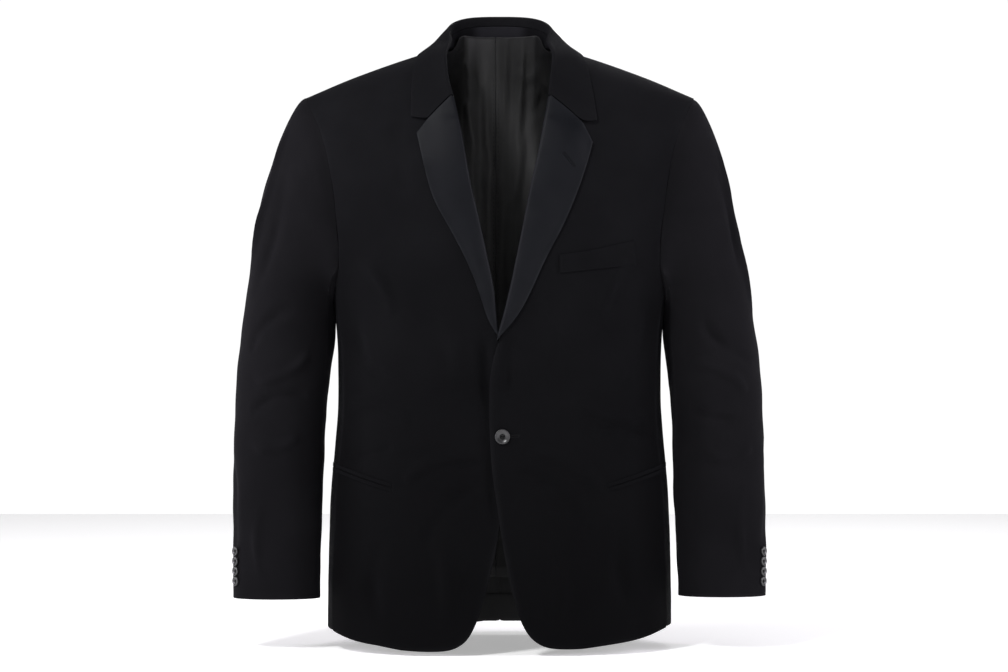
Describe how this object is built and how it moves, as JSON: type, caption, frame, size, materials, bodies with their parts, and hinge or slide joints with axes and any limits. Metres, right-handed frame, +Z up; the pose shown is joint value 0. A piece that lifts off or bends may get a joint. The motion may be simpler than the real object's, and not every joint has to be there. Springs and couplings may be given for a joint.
{
  "type": "suit jacket",
  "caption": "Black single-breasted dinner jacket with satin notch lapels, hollow as worn, to dress a figure or dress form",
  "frame": {"origin": "between the shoulders at the base of the neck, where the wearer's shoulders hold the jacket", "axes": "+Z up, the front of the jacket faces -Y, the wearer's left is +X"},
  "size_m": [0.668, 0.2617, 0.7908],
  "materials": {
    "wool": "fine black worsted wool",
    "satin": "matt black satin with a cool sheen",
    "lining": "dark grey twill lining",
    "button": "polished dark resin"
  },
  "bodies": {
    "root": {"front_left": "wool", "front_right": "wool", "side_left": "wool", "side_right": "wool", "back_left": "wool", "back_right": "wool", "sleeve_top_left": "wool", "sleeve_top_right": "wool", "sleeve_under_left": "wool", "sleeve_under_right": "wool", "lapel_left": "satin", "lapel_right": "satin", "collar": "wool", "collar_stand": "wool", "lining_left": "lining", "lining_right": "lining", "hem_turn_up": "wool", "breast_welt": "wool", "pocket_jet_upper_left": "wool", "pocket_jet_lower_left": "wool", "pocket_jet_upper_right": "wool", "pocket_jet_lower_right": "wool", "button_front": "button", "button_cuff_1_left": "button", "button_cuff_2_left": "button", "button_cuff_3_left": "button", "button_cuff_4_left": "button", "button_cuff_1_right": "button", "button_cuff_2_right": "button", "button_cuff_3_right": "button", "button_cuff_4_right": "button"}
  },
  "joints": []
}
